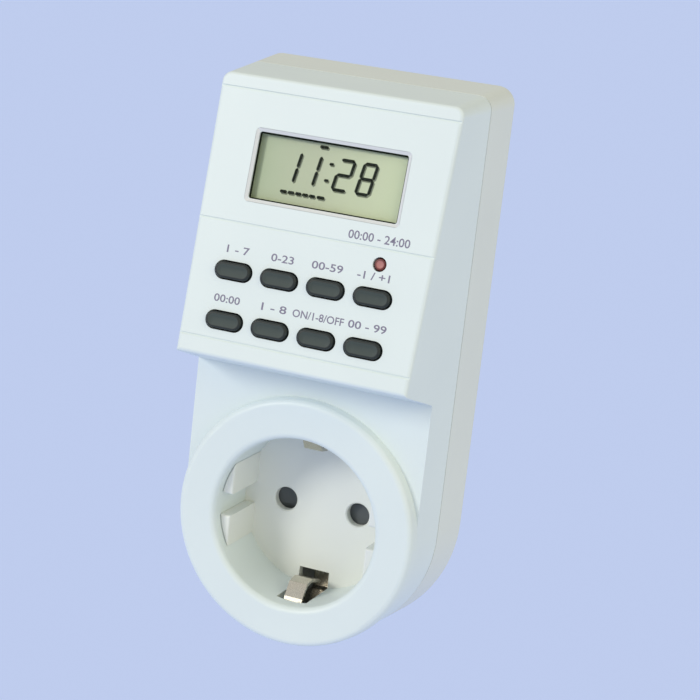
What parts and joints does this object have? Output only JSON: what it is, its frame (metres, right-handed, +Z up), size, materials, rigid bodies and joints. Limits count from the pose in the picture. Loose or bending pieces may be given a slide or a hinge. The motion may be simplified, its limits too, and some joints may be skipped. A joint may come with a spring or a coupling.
{
  "type": "plug in timer switch",
  "caption": "Plug-in digital timer switch: sloping head with display and keys above a round-pin socket, with a round-pin plug behind.",
  "frame": {"origin": "centre of the plug's end face, midway between its two pins", "axes": "+Y along the pins, away from the case and into the wall outlet, +Z up the case towards the display, +X across the pins"},
  "size_m": [0.0634, 0.0789, 0.1373],
  "materials": {
    "case_white": "satin moulded shell",
    "insert_white": "satin moulded insert",
    "shutter_grey": "dark moulded disc",
    "spring_steel": "drawn spring wire",
    "window_clear": "clear polished lens",
    "display_grey": "grey green display glass",
    "frame_white": "moulded holder",
    "strip_rubber": "layered contact rubber",
    "board_green": "coated circuit board",
    "board_brown": "paper resin circuit board",
    "screw_steel": "zinc plated",
    "chip_black": "poured resin cap",
    "crystal_steel": "drawn can",
    "cell_steel": "pressed cell can",
    "tab_nickel": "nickel tab",
    "mat_rubber": "silicone mat",
    "key_rubber": "satin silicone key",
    "reset_red": "moulded button",
    "pin_nickel": "nickel plated",
    "carrier_black": "moulded carrier",
    "contact_brass": "rolled brass",
    "washer_fibre": "pressed fibre",
    "earth_spring": "bent spring strip",
    "earth_strip": "nickel plated strip",
    "rivet_metal": "headed rivet",
    "relay_black": "sealed relay case",
    "capacitor_yellow": "boxed capacitor",
    "capacitor_sleeve": "shrunk sleeve",
    "resistor_tan": "coated body",
    "diode_black": "moulded body",
    "lead_blue": "insulated lead",
    "lead_black": "insulated lead",
    "lead_brown": "insulated lead",
    "ribbon_grey": "flat cable"
  },
  "bodies": {
    "case": {"backup_cell": "cell_steel", "case_screws": "screw_steel", "cell_tabs": "tab_nickel", "clock_board": "board_green", "clock_board_screws": "screw_steel", "clock_chip": "chip_black", "clock_crystal": "crystal_steel", "contact_carrier": "carrier_black", "contact_strips": "strip_rubber", "contact_washer": "washer_fibre", "diodes": "diode_black", "display_frame": "frame_white", "display_glass": "display_grey", "display_window": "window_clear", "earth_rivets": "rivet_metal", "film_capacitor": "capacitor_yellow", "front_shell": "case_white", "keypad_mat": "mat_rubber", "live_contact": "contact_brass", "live_strip": "contact_brass", "mains_lead": "lead_brown", "neutral_contact": "contact_brass", "neutral_lead": "lead_blue", "plug_earth": "earth_strip", "plug_pin_left": "pin_nickel", "plug_pin_right": "pin_nickel", "power_board": "board_brown", "power_board_screws": "screw_steel", "rear_shell": "case_white", "relay": "relay_black", "resistors": "resistor_tan", "ribbon_cable": "ribbon_grey", "shutter_spring": "spring_steel", "smoothing_capacitor": "capacitor_sleeve", "socket_earth": "earth_spring", "socket_insert": "insert_white", "switched_lead": "lead_black"},
    "shutter": {"shutter": "shutter_grey"},
    "reset": {"reset_button": "reset_red"},
    "key_1": {"key_1": "key_rubber"},
    "key_2": {"key_2": "key_rubber"},
    "key_3": {"key_3": "key_rubber"},
    "key_4": {"key_4": "key_rubber"},
    "key_5": {"key_5": "key_rubber"},
    "key_6": {"key_6": "key_rubber"},
    "key_7": {"key_7": "key_rubber"},
    "key_8": {"key_8": "key_rubber"}
  },
  "joints": [
    {"name": "shutter_turn", "type": "hinge", "parent": "case", "child": "shutter", "pos_m": [0, -0.0266, 0], "axis": [0, 1, 0], "range_deg": [0, 40], "stiffness_Nm_per_rad": 0.002, "springref_deg": -20.05, "deforming": ["shutter_spring"]},
    {"name": "reset_press", "type": "slide", "parent": "case", "child": "reset", "axis": [0, 0.9793, -0.2026], "range_m": [0, 0.0008], "stiffness_N_per_m": 400, "springref_m": -0.0003, "deforming": ["keypad_mat"]},
    {"name": "key_1_press", "type": "slide", "parent": "case", "child": "key_1", "axis": [0, 0.9793, -0.2026], "range_m": [0, 0.001], "stiffness_N_per_m": 500, "springref_m": -0.0003, "deforming": ["keypad_mat"]},
    {"name": "key_2_press", "type": "slide", "parent": "case", "child": "key_2", "axis": [0, 0.9793, -0.2026], "range_m": [0, 0.001], "stiffness_N_per_m": 500, "springref_m": -0.0003, "deforming": ["keypad_mat"]},
    {"name": "key_3_press", "type": "slide", "parent": "case", "child": "key_3", "axis": [0, 0.9793, -0.2026], "range_m": [0, 0.001], "stiffness_N_per_m": 500, "springref_m": -0.0003, "deforming": ["keypad_mat"]},
    {"name": "key_4_press", "type": "slide", "parent": "case", "child": "key_4", "axis": [0, 0.9793, -0.2026], "range_m": [0, 0.001], "stiffness_N_per_m": 500, "springref_m": -0.0003, "deforming": ["keypad_mat"]},
    {"name": "key_5_press", "type": "slide", "parent": "case", "child": "key_5", "axis": [0, 0.9793, -0.2026], "range_m": [0, 0.001], "stiffness_N_per_m": 500, "springref_m": -0.0003, "deforming": ["keypad_mat"]},
    {"name": "key_6_press", "type": "slide", "parent": "case", "child": "key_6", "axis": [0, 0.9793, -0.2026], "range_m": [0, 0.001], "stiffness_N_per_m": 500, "springref_m": -0.0003, "deforming": ["keypad_mat"]},
    {"name": "key_7_press", "type": "slide", "parent": "case", "child": "key_7", "axis": [0, 0.9793, -0.2026], "range_m": [0, 0.001], "stiffness_N_per_m": 500, "springref_m": -0.0003, "deforming": ["keypad_mat"]},
    {"name": "key_8_press", "type": "slide", "parent": "case", "child": "key_8", "axis": [0, 0.9793, -0.2026], "range_m": [0, 0.001], "stiffness_N_per_m": 500, "springref_m": -0.0003, "deforming": ["keypad_mat"]}
  ]
}
